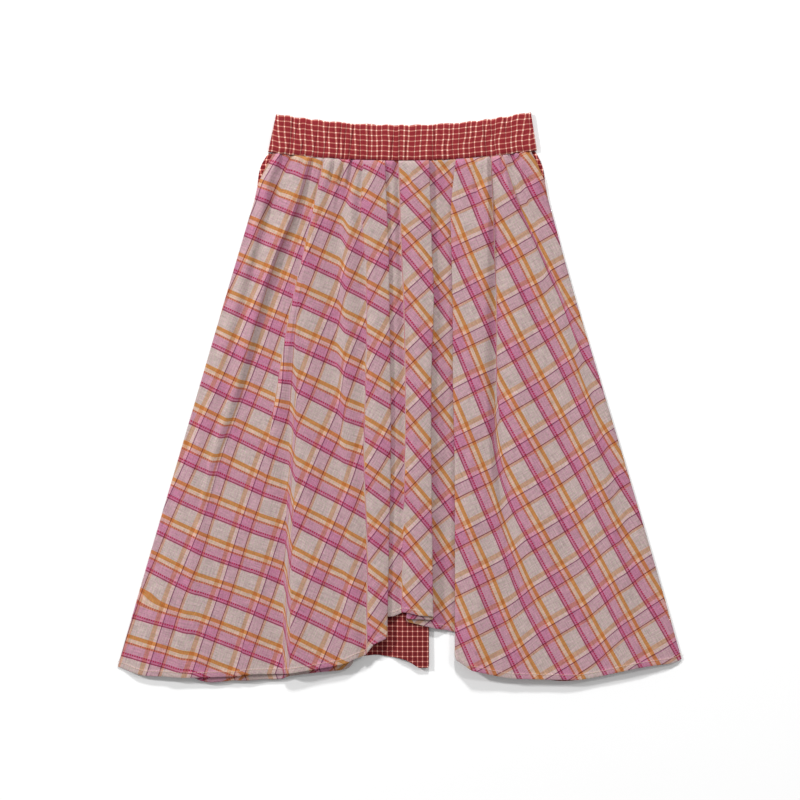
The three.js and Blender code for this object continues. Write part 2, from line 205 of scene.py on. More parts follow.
# Where the plaid lies: at places along the middle of each strip, x and y on the
# skirt, and a and b, how far that is across the orange and across the tan stripes.
# full is how much cloth there is to a millimetre across, with what its folds hide.
plaidLay = [
    dict(name="side seam to long valley", full=(1.08, 1.08, 1.08, 1.07, 1.06, 1.04),
         at=[(-174, 214, -90, 25.5), (-207, 130, 2.5, 30), (-224, 27, 102.5, 57.5),
             (-243, -37, 167.5, 68), (-262, -252, 375.5, 140), (-290, -300, 428, 128)]),
    dict(name="long valley to first step", full=1.1,
         at=[(-163, 78, 32, 119), (-175, -7, 115.5, 139.5), (-168, -107, 205.5, 185),
             (-176, -255, 349, 227)]),
    dict(name="between the first two steps", full=1.08,
         at=[(-92, 279, -190, 152), (-106, 216, -122.5, 165.5), (-126, 115, -23.5, 184),
             (-146, -7, 101, 177), (-150, -93, 186, 201), (-157, -221, 310.5, 233.5),
             (-168, -324, 410.5, 259.5)]),
    dict(name="second step to third", full=1.06,
         at=[(-85, 279, -193, 158.5), (-97, 216, -126, 174), (-109, 107, -23, 204),
             (-111, -14, 85, 249), (-92.5, -126, 173.5, 313), (-91, -263, 293, 370)]),
    dict(name="third step to fourth", full=1.08,
         at=[(-56.5, 198, -134.5, 224), (-56.5, 105, -50, 265.5), (-57, -2, 46, 306.5),
             (-67, -106, 144, 329.5), (-60, -221.5, 241, 384), (-55, -311, 320.5, 426.5)]),
    dict(name="fourth step to the left fold", full=1.03,
         at=[(-26, 195, -147, 272), (-22, 60, -31.5, 341.5), (-23, -85, 88.5, 407),
             (-24, -233, 205.5, 489.5)]),
    dict(name="left fold to dark valley", full=1.07,
         at=[(-4, 213, -114, -54), (-2, 53, 22, 30), (-3.5, -150, 186.5, 138.5)]),
    dict(name="dark valley to raised fold", full=1.07,
         at=[(23, 267, -99.5, -155.5), (26, 195, -49.5, -90), (26, 48, 45.5, 19.5),
             (26, -99.5, 140, 125), (26, -209, 211.5, 204.5)]),
    dict(name="strip beside the raised fold", full=1.1,
         at=[(54.5, 257, -120, -146), (56.5, 157, -56, -62), (58, 15, 31, 49.5),
             (59, -119, 113.5, 155), (59, -228, 176.5, 244.5)]),
    dict(name="right fold to the fall", full=1.07,
         at=[(94, 276, -87, -182), (95, 192, -53.5, -100), (89, 67, 7, 14), (94, -69, 57, 138.5),
             (102, -237, 120.5, 292.5)]),
    dict(name="right lobe, inside", full=1.06,
         at=[(136, 274.5, -178.5, -135.5), (148, 183, -141, -47.5), (160, 72, -99, 58),
             (171, -63.5, -41, 180), (211, -243, 14.5, 358)]),
    dict(name="right lobe, outside", full=1.15,
         at=[(210, 54, -138, 101.5), (236, -64, -104, 218.5), (280, -243, -51, 402.5)]),
    dict(name="right hip", full=1.05,
         at=[(192, 227, -225.5, -59.5), (225, 113, -196.5, 61), (261, -11, -161.5, 190.5),
             (305, -150, -123.5, 338), (330, -250, -93.5, 437.5)]),
]
backLay = [
    dict(name="back, left part", full=1.07,
         at=[(-60, 300, 0, 0), (-60, 0, 321, 0), (-60, -330, 674, 0)]),
    dict(name="back, right part", full=1.07,
         at=[(120, 300, 0, 180), (120, 0, 321, 180), (120, -330, 674, 180)]),
]

panel = {
    "columnWidth": 2.8,  # spacing of the mesh across the cloth
    "wallWidth": 2.2,  # narrower than this, a step's wall has no columns inside it
    "openWidth": 14.0,  # how wide the rolls of a fold lie where it is open
    "cloth": 0.5,  # thickness of one layer
    "hemDepth": 7.0,  # the turned hem
    "hemCloth": 1.25,  # thickness where the hem is turned
    "seamGap": 0.3,
    "crumple": 0.5,  # height of the small unevenness
    "gatherHeight": 1.5,  # height of the small gathers under the band
    "gatherLength": 0.085,  # share of the length over which they die out
    "middleLength": 610.0,  # mm from band to hem in the middle
    "lobeLength": 620.0,  # and where the hem is turned
    "pinchReach": 2.6,  # mm over which the band holds the cloth
    "pinchLevel": 3.3,  # z that it draws the cloth towards
    "pinchShare": 0.6,
    "lowest": 0.95,  # z that the front never goes below
}


# A smooth line through values at knots, with its slope; straight beyond the ends.
def splineAt(knots, values, where):
    knots, values = np.asarray(knots, float), np.asarray(values, float)
    each = np.arange(len(knots))
    before, after = np.maximum(each - 1, 0), np.minimum(each + 1, len(knots) - 1)
    slope = (values[after] - values[before]) / (knots[after] - knots[before])
    k = np.clip(np.searchsorted(knots, where, side="right") - 1, 0, len(knots) - 2)
    span = knots[k + 1] - knots[k]
    t = np.clip((where - knots[k]) / span, 0, 1)
    value = ((2 * t ** 3 - 3 * t ** 2 + 1) * values[k] + (t ** 3 - 2 * t ** 2 + t) * span * slope[k]
             + (3 * t ** 2 - 2 * t ** 3) * values[k + 1] + (t ** 3 - t ** 2) * span * slope[k + 1])
    rate = ((6 * t ** 2 - 6 * t) * (values[k] - values[k + 1]) / span
            + (3 * t ** 2 - 4 * t + 1) * slope[k] + (3 * t ** 2 - 2 * t) * slope[k + 1])
    beyond = (where - knots[k]) - t * span
    return value + beyond * rate, rate


def readStations(path, shares):
    return splineAt(stations, path, shares)[0]


# The cloth's own two counts (a, b) at a place on the skirt, for one strip.
def clothPlace(lay, x, y):
    at = np.array(lay["at"], float)
    down = -at[:, 1]
    middle, lean = splineAt(down, at[:, 0], -y)
    a, rateA = splineAt(down, at[:, 2], -y)
    b, rateB = splineAt(down, at[:, 3], -y)
    length = np.sqrt(1 + lean ** 2)
    alongA, alongB = rateA / length, rateB / length
    size = np.sqrt(alongA ** 2 + alongB ** 2)
    aside = (x - middle) / length * np.interp(-y, down, np.broadcast_to(lay["full"], len(down)))
    forward = (x - middle) * lean / length
    return (a + forward * alongA - aside * alongB / size,
            b + forward * alongB + aside * alongA / size)


# The counts where strips pass into each other: strip is a running number.
def clothBlend(lays, strip, x, y):
    a, b = np.zeros_like(x), np.zeros_like(x)
    for k in range(int(strip.min()), int(math.ceil(strip.max())) + 1):
        weight = np.clip(1 - np.abs(strip - k), 0, 1)
        aHere, bHere = clothPlace(lays[k], x, y)
        a, b = a + weight * aHere, b + weight * bHere
    return a, b


def smooth(t):
    t = np.clip(t, 0, 1)
    return t * t * (3 - 2 * t)


# Columns of the mesh between two fold lines, eased so crests and valleys are round.
def softened(lines, zones=()):
    columns = []
    hemX, hemY = [line["x"][-1] for line in lines], [line["hem"] for line in lines]
    for first, second in zip(lines, lines[1:]):
        span = second["x"][4] - first["x"][4]
        steps = max(1 if span < panel["wallWidth"] else 3, round(span / panel["columnWidth"]))
        for step in range(steps):
            t = step / steps
            eased = (1 - math.cos(math.pi * t)) / 2
            x = [p + (q - p) * t for p, q in zip(first["x"], second["x"])]
            hem = float(splineAt(hemX, hemY, np.array([x[-1]]))[0][0])
            columns.append(dict(
                x=x, unfolded=x, hem=hem, zones=zones,
                z=[p + (q - p) * eased for p, q in zip(first["z"], second["z"])],
                strip=first["strip"] + (second["strip"] - first["strip"]) * float(smooth(t))))
    last = lines[-1]
    columns.append(dict(x=last["x"], unfolded=last["x"], z=last["z"], hem=last["hem"], zones=zones,
                        strip=float(last["strip"]), breaks=True))
    return columns


# A fold that lies over on itself: down round one roll, back, round another.
def tucked(spec, turns=6):
    side, openWidth = spec["side"], panel["openWidth"]
    seen, under = spec["strips"] if side > 0 else spec["strips"][::-1]
    opened = spec.get("open", [0] * len(stations))
    columns = []
    for roll in (0, 1):
        for turn in range(turns + 1):
            share = turn / turns
            order = (roll * (turns + 1) + share * turns) / (2 * turns + 1)
            x, unfolded, z = [], [], []
            for k in range(len(stations)):
                radius = spec["gap"][k] / 2
                bulge = radius * math.sin(math.pi * share)
                edge, depth = spec["edge"][k], spec["depth"][k]
                inward = radius - bulge if roll == 0 else depth - radius + bulge
                shut = edge - side * inward
                flat = edge + side * (order * openWidth - openWidth / 2)
                x.append(shut + (flat - shut) * opened[k])
                arc = radius * math.pi * share
                reach = edge + side * (arc - radius) if roll == 0 else edge + side * (depth + arc)
                hidden = reach if roll == 0 or share < 0.5 else shut
                unfolded.append(hidden + (flat - hidden) * opened[k])
                drop = radius * (1 - math.cos(math.pi * share))
                z.append(spec["top"][k] - spec["gap"][k] * roll - drop)
            hems = spec["hem"][:2] if roll == 0 else spec["hem"][2:]
            columns.append(dict(
                x=x, unfolded=unfolded, z=z, hem=hems[0] + (hems[1] - hems[0]) * share,
                strip=float(seen if roll == 0 or share < 0.5 else under)))
    return columns if side > 0 else columns[::-1]


frontColumns = (softened(leftLobe) + tucked(leftTuck) + softened(centreDip) + tucked(centreTuck)
                + softened(centreStrip) + tucked(rightTuck) + softened(rightLobe, rightZones))
backColumns = softened(backLeft) + tucked(backTuck) + softened(backRight)

# Rows of the mesh lie closer under the band and closest at the edge of the turned hem.
rowShares = np.concatenate([
    np.linspace(0, 0.06, 13)[:-1], np.linspace(0.06, 0.2, 17)[:-1],
    np.linspace(0.2, 0.93, 72)[:-1], np.linspace(0.93, 0.986, 9)[:-1],
    [0.9862, 0.9875, 0.9883, 0.9889, 0.9905, 0.993, 0.996, 0.9985, 0.9995, 1.0]])

# Gathers that run down from the band: the path of each, mm, how wide and deep it
# is and how much cloth it takes up.
gathers = [
    dict(path=[(-151, 313), (-150, 299), (-153, 284)], wide=2.0, deep=3.1, takes=2.5),
    dict(path=[(-138, 312), (-144, 290), (-152, 271), (-160, 253),
               (-168, 236)], wide=3.1, deep=6.3, takes=5),
    dict(path=[(-120, 310), (-124, 292), (-133, 270)], wide=2.3, deep=2.4, takes=2),
    dict(path=[(-83, 307), (-86, 288), (-92, 268)], wide=2.0, deep=2.8, takes=3),
    dict(path=[(-73, 306), (-72, 292), (-78, 270)], wide=2.0, deep=3.5, takes=3),
    dict(path=[(-60, 306), (-62, 290), (-66, 268)], wide=2.2, deep=3.9, takes=4),
    dict(path=[(-33, 305), (-34, 288), (-35, 262)], wide=2.2, deep=2.8, takes=2.5),
    dict(path=[(-25, 305), (-26, 290), (-27, 276)], wide=1.6, deep=2.2, takes=2),
    dict(path=[(-4.5, 304), (-6, 292), (-8, 276)], wide=1.4, deep=2.2, takes=2),
    dict(path=[(14, 304), (15, 288), (16, 268)], wide=1.8, deep=2.4, takes=2.5),
    dict(path=[(26, 304), (27, 290), (28, 276)], wide=2.0, deep=3.1, takes=3),
    dict(path=[(60, 305), (61, 288), (62, 266)], wide=1.8, deep=1.8, takes=2),
    dict(path=[(81, 306), (80, 290), (80, 262)], wide=2.2, deep=2.7, takes=2.5),
    dict(path=[(96, 307), (98, 282), (104, 246)], wide=2.7, deep=2.4, takes=2),
    dict(path=[(109, 308), (109, 292), (110, 274)], wide=1.8, deep=2.4, takes=2.5),
    dict(path=[(131, 312), (133, 298), (137, 280)], wide=2.0, deep=2.7, takes=3),
    dict(path=[(147, 315), (147, 295), (152, 277), (159, 262), (169, 241),
               (178, 221)], wide=2.9, deep=5.7, takes=4),
    dict(path=[(154, 316), (155, 299), (162, 286), (173, 278)], wide=2.0, deep=3.9, takes=5),
]


# How deep the gathers are at a place, and how far the cloth there is drawn aside.
def gathered(x, y):
    depth, drawn = np.zeros_like(x), np.zeros_like(x)
    for line in gathers:
        pathX, pathY = np.array(line["path"], float).T
        across = x - np.interp(-y, -pathY, pathX)
        along = (pathY[0] - y) / (pathY[0] - pathY[-1])
        fade = smooth((1.25 - along) / 0.6)
        depth += line["deep"] * np.exp(-(across / line["wide"]) ** 2) * fade
        drawn += (line["takes"] * fade * 0.5 * np.tanh(across / line["wide"] * 1.4)
                  * np.exp(-(across / (2.6 * line["wide"] + 5)) ** 2))
    return depth, drawn


# The front's side edges swell just under the band, where the back shows past them.
hip = {
    "swell": 2.7,
    "swellAt": 0.058,  # share of the length
    "swellSpan": 0.024,
    "swellReach": 22.0,  # how far in from the edge it is felt
    "showsLeft": 8.5,  # mm of the back past its own line
    "showsRight": 7.0,
    "showsAt": 0.024,
    "showsSpan": 0.032,
    "drawnIn": 2.6,  # mm that the gathers draw the front's edge in at the band
    "drawnSpan": 0.016,
}


def hipLine(x, shares, shows):
    swell = hip["swell"] * np.exp(-((shares - hip["swellAt"]) / hip["swellSpan"]) ** 2)[:, None]
    past = shows * np.exp(-((shares - hip["showsAt"]) / hip["showsSpan"]) ** 2)[:, None]
    drawn = hip["drawnIn"] * np.exp(-(shares / hip["drawnSpan"]) ** 2)[:, None]
    swell = swell - (1 - shows) * drawn
    left = (swell + past * hip["showsLeft"]) * np.exp(-((x - x[:, :1]) / hip["swellReach"]) ** 2)
    right = (swell + past * hip["showsRight"]) * np.exp(-((x - x[:, -1:]) / hip["swellReach"]) ** 2)
    return x - left + right


def sheetGrid(columns, lays, ripple, shares=rowShares):
    rows = []
    for column in columns:
        y0 = waistLine(np.array(column["x"][0])) - panel["seamGap"] / 2
        x = readStations(column["x"], shares)
        z = readStations(column["z"], shares)
        y = y0 + (column["hem"] - y0) * shares
        beside = readStations(column["unfolded"], shares)
        strip = np.full(len(shares), float(column["strip"]))
        for zone in column.get("zones", ()):
            centre = readStations(zone["centre"], shares)
            half = np.interp(shares, stations, zone["half"])
            strip = strip + smooth((beside - centre + half) / (2 * half))
        across, down = beside, y
        if ripple:
            depth, drawn = gathered(beside, y)
            # the threads waver a little, and dip into each gather
            across = (beside + drawn
                      + 0.7 * np.sin(y / 37 + beside / 29) * np.sin(y / 61 - beside / 47 + 1))
            down = (y + 0.3 * depth
                    + 0.8 * np.sin(beside / 23 + 2 * np.sin(y / 71)) * np.sin(y / 43 + 0.7))
        a, b = clothBlend(lays, strip, across, down)
        rows.append((x, y, z, a, b, beside))
    x, y, z, a, b, beside = (np.array([row[k] for row in rows]).T for k in range(6))
    x = hipLine(x, shares, 0.0 if ripple else 1.0)
    if ripple:
        fade = np.exp(-(shares / panel["gatherLength"]) ** 2)[:, None]
        wave = np.sin(2 * math.pi * beside[:1] / 13 + 1.3 * np.sin(beside[:1] / 29))
        wave = wave + 0.5 * np.sin(2 * math.pi * beside[:1] / 7.1 + 2 * np.sin(beside[:1] / 17))
        depth = gathered(x, y)[0]
        tuckedOver = np.array(["zones" not in column for column in columns])
        layerShare = np.clip((z - panel["lowest"]) / 4, 0, 1)  # so that a fold's layers stay apart
        depth = np.where(tuckedOver, depth * layerShare, depth)
        z = z + fade * ripple * (0.6 + 0.5 * wave) - depth
        crumple = (np.sin(x / 21 + 1.7 * np.sin(y / 61)) * np.sin(y / 47 + 0.9 * np.sin(x / 33))
                   + 0.5 * np.sin(x / 9.5 + y / 31 + 2 * np.sin(y / 83)))
        z = z + panel["crumple"] * crumple * smooth(z / 5)
        pinch = np.exp(-(shares * panel["middleLength"] / panel["pinchReach"]) ** 2)[:, None]
        z = z + (panel["pinchLevel"] - z) * panel["pinchShare"] * pinch
        z = np.maximum(z, panel["lowest"])
    else:
        z = np.maximum(z, onSurface[0])
    return np.stack([x, y, z], axis=2), np.stack([a, b], axis=2)


# A closed shell: the sheet's middle moved half a thickness each way, and its rim.
def shellMesh(name, middle, thickness, cloth):
    middle = middle - centring
    normal = np.cross(np.gradient(middle, axis=1), -np.gradient(middle, axis=0))
    normal /= np.linalg.norm(normal, axis=2, keepdims=True) + 1e-12
    half = (thickness / 2)[:, :, None]
    return closedMesh(name, middle + normal * half, middle - normal * half, cloth)


def closedMesh(name, upper, lower, cloth):
    rowCount, columnCount = upper.shape[:2]
    points = np.concatenate([upper.reshape(-1, 3), lower.reshape(-1, 3)]) * mm
    index = np.arange(rowCount * columnCount).reshape(rowCount, columnCount)
    corners = [index[:-1, :-1], index[1:, :-1], index[1:, 1:], index[:-1, 1:]]
    quads = np.stack(corners, axis=2).reshape(-1, 4)
    under = quads[:, ::-1] + rowCount * columnCount
    rim = np.concatenate([index[0, :-1], index[:-1, -1], index[-1, :0:-1], index[:0:-1, 0]])
    after = np.roll(rim, -1)
    count = rowCount * columnCount
    sides = np.stack([rim, after, after + count, rim + count], axis=1)
    faces = np.concatenate([quads, under, sides])
    mesh = bpy.data.meshes.new(name)
    mesh.from_pydata(points.tolist(), [], faces.tolist())
    uvLayer = mesh.uv_layers.new(name="cloth")
    perPoint = np.concatenate([cloth.reshape(-1, 2), cloth.reshape(-1, 2)]) * mm
    loopPoint = np.empty(len(mesh.loops), int)
    mesh.loops.foreach_get("vertex_index", loopPoint)
    uvLayer.data.foreach_set("uv", perPoint[loopPoint].ravel())
    mesh.shade_smooth()
    mesh.update()
    piece = bpy.data.objects.new(name, mesh)
    bpy.context.scene.collection.objects.link(piece)
    return piece


# The cloth's thickness in each row: more where the hem is turned, rounded at its fold.
def hemThickness(shares, columnCount):
    fromHem = (1 - shares) * panel["lobeLength"]
    turned = smooth((panel["hemDepth"] + 0.5 - fromHem) / 0.9)
    thick = panel["cloth"] + (panel["hemCloth"] - panel["cloth"]) * turned
    thick = thick * np.where(fromHem < 0.4, 0.55, np.where(fromHem < 1.2, 0.9, 1))
    return np.repeat(thick[:, None], columnCount, axis=1)


frontMiddle, frontCloth = sheetGrid(frontColumns, plaidLay, panel["gatherHeight"])
frontThickness = hemThickness(rowShares, len(frontColumns))
frontPanel = shellMesh("frontPanel", frontMiddle, frontThickness, frontCloth)
print("front panel:", len(frontColumns), "by", len(rowShares))

# Where the left lobe's hem curls under: x, y of how far down it shows, and z.
hemCurl = {
    "line": [(-264, -359.2, 6.0), (-255, -363.4, 5.0), (-242, -366.0, 4.4), (-227, -365.0, 4.4),
             (-212, -363.4, 4.6), (-199, -363.8, 4.6), (-185, -363.2, 4.4), (-171, -362.0, 4.0),
             (-158, -362.4, 3.6), (-148, -361.0, 3.4), (-142, -358.4, 4.6), (-130, -356.4, 6.0),
             (-111, -353.8, 6.6), (-98, -352.2, 6.8), (-83, -351.0, 6.8), (-71, -349.2, 6.6),
             (-63, -346.2, 6.4), (-58, -340.0, 6.4)],
    "columns": 110,
    "rows": 9,
    "inside": 5.0,  # mm that it reaches in under the hem
    "below": 1.4,  # mm that its edge lies below the hem, at least
    "belowInside": 1.6,
}


def hemCurlMesh(name):
    knots = np.array(hemCurl["line"])
    x = np.linspace(knots[0, 0], knots[-1, 0], hemCurl["columns"])
    low = splineAt(knots[:, 0], knots[:, 1], x)[0]
    level = splineAt(knots[:, 0], knots[:, 2], x)[0]
    order = np.argsort(frontMiddle[-1, :, 0])
    hemY = np.interp(x, frontMiddle[-1, order, 0], frontMiddle[-1, order, 1])
    hemZ = np.interp(x, frontMiddle[-1, order, 0], frontMiddle[-1, order, 2])
    share = np.linspace(0, 1, hemCurl["rows"])[:, None]
    top = hemY + hemCurl["inside"]
    y = top + (np.minimum(low, hemY + 0.4) - top) * share
    across = np.broadcast_to(x, y.shape)
    edge = np.minimum(level, hemZ - hemCurl["below"])
    z = edge + (hemZ - hemCurl["belowInside"] - edge) * (1 - share) ** 2
    z = z + 0.35 * np.sin(across / 4.3 + 2 * np.sin(across / 11)) * share
    strips = np.array([column["strip"] for column in frontColumns])[order]
    strip = np.clip(np.interp(x, frontMiddle[-1, order, 0], strips), 0, 4)
    a, b = clothBlend(plaidLay, np.broadcast_to(strip, y.shape), across.copy(), 2 * hemY - y)
    thickness = np.full(y.shape, panel["cloth"])
    return shellMesh(name, np.stack([across, y, z], axis=2), thickness, np.stack([a, b], axis=2))


hemCurlPiece = hemCurlMesh("hemCurl")

backShares = rowShares[::2]
backMiddle, backCloth = sheetGrid(backColumns, backLay, 0, backShares)
backThickness = np.full(backMiddle.shape[:2], panel["cloth"])
backPanel = shellMesh("backPanel", backMiddle, backThickness, backCloth)
print("back panel:", len(backColumns), "by", len(backShares))

band = {
    "bottomHalf": 172.7,  # half width at the seam
    "topHalf": 163.7,
    "lean": 1.4,
    "height": 45.2,
    "sideExtra": 3.4,
    "thick": 2.3,
    "gathers": 34,  # gathers of the elastic seen across one side
    "grooveDepth": 3.0,
    "columns": 520,
    "rows": 26,
    "checkDown": 1.05,  # the check's scale down the band
    "checkAcross": 0.78,  # and along it, where it is wider
}


def bandShell(name, level, seed, flatBelow):
    chance = np.random.default_rng(seed)
    count = band["gathers"]
    places = (np.arange(count) + 0.5 + chance.uniform(-0.42, 0.42, count)) / count * 2 - 1
    deep = chance.uniform(0.25, 1.0, count)
    wide = chance.uniform(0.7, 1.6, count)
    lean = chance.uniform(-4.0, 4.0, count)
    reach = chance.uniform(0.35, 1.4, count)  # how far down from the top, or up
    fromTop = chance.uniform(0, 1, count) < 0.5
    side = np.linspace(-1, 1, band["columns"])
    down = np.concatenate([[0, 0.012, 0.03], np.linspace(0.06, 0.94, band["rows"] - 6),
                           [0.97, 0.988, 1]])
    across, fall = np.meshgrid(side, down)
    half = band["topHalf"] + (band["bottomHalf"] - band["topHalf"]) * fall
    x = waist["middle"] + band["lean"] * (1 - fall) + across * half
    seam = waistLine(waist["middle"] + across * band["bottomHalf"]) + panel["seamGap"] / 2
    height = band["height"] + band["sideExtra"] * across ** 2
    y = seam + height * (1 - fall)
    groove, squeeze = np.zeros_like(x), np.zeros_like(x)
    for k in range(count):
        centre = waist["middle"] + places[k] * half + lean[k] * (fall - 0.5)
        strength = smooth((reach[k] - (fall if fromTop[k] else 1 - fall)) / 0.3)
        shape = np.exp(-np.abs((x - centre) / wide[k]) ** 1.5)
        groove += deep[k] * strength * shape
        squeeze += (0.5 + 2.4 * deep[k]) * (0.85 + 0.15 * strength) * shape
    fine = (0.2 * np.sin(x / 1.7 + 3 * np.sin(x / 13 + fall * 2))
            + 0.14 * np.sin(x / 1.1 + 5 * np.sin(x / 7)))
    swell = (np.sqrt(np.clip(1 - (2 * fall - 1) ** 8, 0.12, 1))
             * np.sqrt(np.clip(1 - across ** 30, 0.15, 1)))
    # the top edge is scalloped, and the seam runs unevenly
    scallop = 0.6 * np.sin(x / 4.1 + 2 * np.sin(x / 19)) - 1.0 * groove * (1 - fall) + 0.5
    y = y + scallop * (1 - fall) ** 3
    y = y + 0.35 * np.sin(x / 3.1 + 3 * np.sin(x / 11)) * fall ** 8
    relief = band["thick"] + 0.35 + fine - band["grooveDepth"] * groove
    upper = level + 0.3 + relief * swell
    lower = np.full_like(upper, level) if flatBelow else level + 0.15 * groove
    if flatBelow:  # the back side stays clear of the front side, which lies on it
        upper = np.minimum(upper, band["thick"] + 0.2)
    upper = np.maximum(upper, lower + 0.35)
    widthStep = np.gradient(x, axis=1)
    acrossCloth = np.cumsum(widthStep * (0.92 + squeeze), axis=1) * band["checkAcross"]
    acrossCloth -= acrossCloth[:, [band["columns"] // 2]]
    downCloth = (height * fall * band["checkDown"] + 0.35 * np.sin(x / 5.3 + 1.9 * np.sin(x / 15))
                 + 0.25 * np.sin(x / 2.3 + 2.5 * np.sin(x / 9)) + 0.6 * groove)
    cloth = np.stack([acrossCloth, downCloth], axis=2)
    outside, inside = np.stack([x, y, upper], axis=2), np.stack([x, y, lower], axis=2)
    return closedMesh(name, outside - centring, inside - centring, cloth)


waistbandFront = bandShell("waistbandFront", band["thick"] + 0.35, seed=11, flatBelow=False)
waistbandBack = bandShell("waistbandBack", 0.0, seed=23, flatBelow=True)
print("waistband made")


# A node tree and how nodes are added to it: an input is a number or another's output.
class Tree:
    def __init__(self, nodeTree):
        self.nodes, self.links = nodeTree.nodes, nodeTree.links
        self.nodes.clear()

    def add(self, kind, inputs=None, **settings):
        node = self.nodes.new(kind)
        for key, value in settings.items():
            setattr(node, key, value)
        for key, value in (inputs or {}).items():
            if isinstance(value, bpy.types.NodeSocket):
                self.links.new(value, node.inputs[key])
            else:
                node.inputs[key].default_value = value
        return node

    def math(self, operation, first, second=0.0, third=0.0):
        values = {0: first, 1: second, 2: third}
        return self.add("ShaderNodeMath", values, operation=operation).outputs[0]

    def noise(self, vector, scale, detail, roughness=0.5):
        return self.add("ShaderNodeTexNoise", {"Vector": vector, "Scale": scale, "Detail": detail,
                                               "Roughness": roughness}).outputs["Fac"]

    def ramp(self, fraction, stops):
        node = self.add("ShaderNodeValToRGB", {"Fac": fraction})
        node.color_ramp.interpolation = "CONSTANT"
        elements = node.color_ramp.elements
        elements[0].position = 0.0
        elements.remove(elements[1])
        for k, (position, colour) in enumerate(stops):
            element = elements[0] if k == 0 else elements.new(position)
            element.color = colour
        return node.outputs["Color"]


def newMaterial(name):
    material = bpy.data.materials.new(name)
    material.use_nodes = True
    return material, Tree(material.node_tree)


# An sRGB colour, 0 to 255, as the shader's linear one.
def linear(*rgb):
    def channel(value):
        value = value / 255
        return value / 12.92 if value <= 0.04045 else ((value + 0.055) / 1.055) ** 2.4
    return (*map(channel, rgb), 1.0)


plaid = {
    "orangeRepeat": 50.0,  # mm from one orange stripe to the next
    "tanRepeat": 56.2,  # mm from one tan stripe to the next
    "dotPitch": 3.2,  # mm between the dots on the dotted stripes
    "brightness": 0.915,
    "streaks": 0.5,  # how much single yarns differ in tone
    "mottle": 0.4,  # how much the cloth varies in tone over a few yarns
    "tint": (0.26, -0.26, 0.22),  # and in colour
    "yarn": 0.55,  # mm between yarns
    "roughness": 0.85,
    "sheen": 0.12,
}
# Where each colour of the orange set starts, mm, and its sRGB colour.
orangeSet = [(0, 181, 122, 68), (2.4, 196, 165, 148), (6.9, 176, 118, 95), (9.7, 182, 132, 148),
             (20.4, 167, 97, 124), (22.9, 184, 112, 136), (24.6, 140, 62, 86),
             (26.2, 184, 157, 156), (27.4, 184, 163, 159), (47.6, 181, 122, 68)]
tanSet = [(0, 120, 71, 94), (0.75, 182, 145, 152), (15.2, 128, 66, 60), (16.6, 184, 163, 158),
          (16.8, 182, 139, 118), (19.7, 184, 163, 158), (45.0, 180, 141, 116),
          (51.0, 198, 168, 162), (55.6, 120, 71, 94)]
ground = (184, 163, 158)
# Middle of each dotted stripe, mm, half its width, the dots' colour and strength.
dotted = [(8.3, 0.95, (156, 42, 32), 0.75), (21.6, 1.0, (148, 10, 54), 1.0)]


# The cloth's own two counts, in metres, alone and as a place.
def clothCounts(tree):
    uv = tree.add("ShaderNodeUVMap", uv_map="cloth").outputs["UV"]
    split = tree.add("ShaderNodeSeparateXYZ", {"Vector": uv})
    a, b = split.outputs["X"], split.outputs["Y"]
    return a, b, tree.add("ShaderNodeCombineXYZ", {"X": a, "Y": b}).outputs[0]


def weaveBump(tree, a, b, cloth, pitch, strength):
    turn = 2 * math.pi / (pitch * mm)
    warp = tree.math("SINE", tree.math("MULTIPLY", a, turn))
    weft = tree.math("SINE", tree.math("MULTIPLY", b, turn))
    weave = tree.math("MULTIPLY", warp, weft)
    slub = tree.noise(cloth, 220.0, 3.0)
    crease = tree.noise(cloth, 34.0, 4.0, 0.55)
    height = tree.math("ADD", tree.math("MULTIPLY", weave, 0.06), tree.math("MULTIPLY", slub, 0.10))
    height = tree.math("ADD", height, tree.math("MULTIPLY", crease, 0.9))
    bump = {"Height": height, "Strength": strength, "Distance": 0.001}
    return tree.add("ShaderNodeBump", bump).outputs[0]


def clothShader(tree, colour, finish, a, b, cloth):
    shader = tree.add("ShaderNodeBsdfPrincipled", {
        "Base Color": colour, "Roughness": finish["roughness"], "Specular IOR Level": 0.25,
        "Sheen Weight": finish["sheen"], "Sheen Roughness": 0.5,
        "Normal": weaveBump(tree, a, b, cloth, finish["yarn"], 0.35)})
    tree.add("ShaderNodeOutputMaterial", {"Surface": shader.outputs[0]})


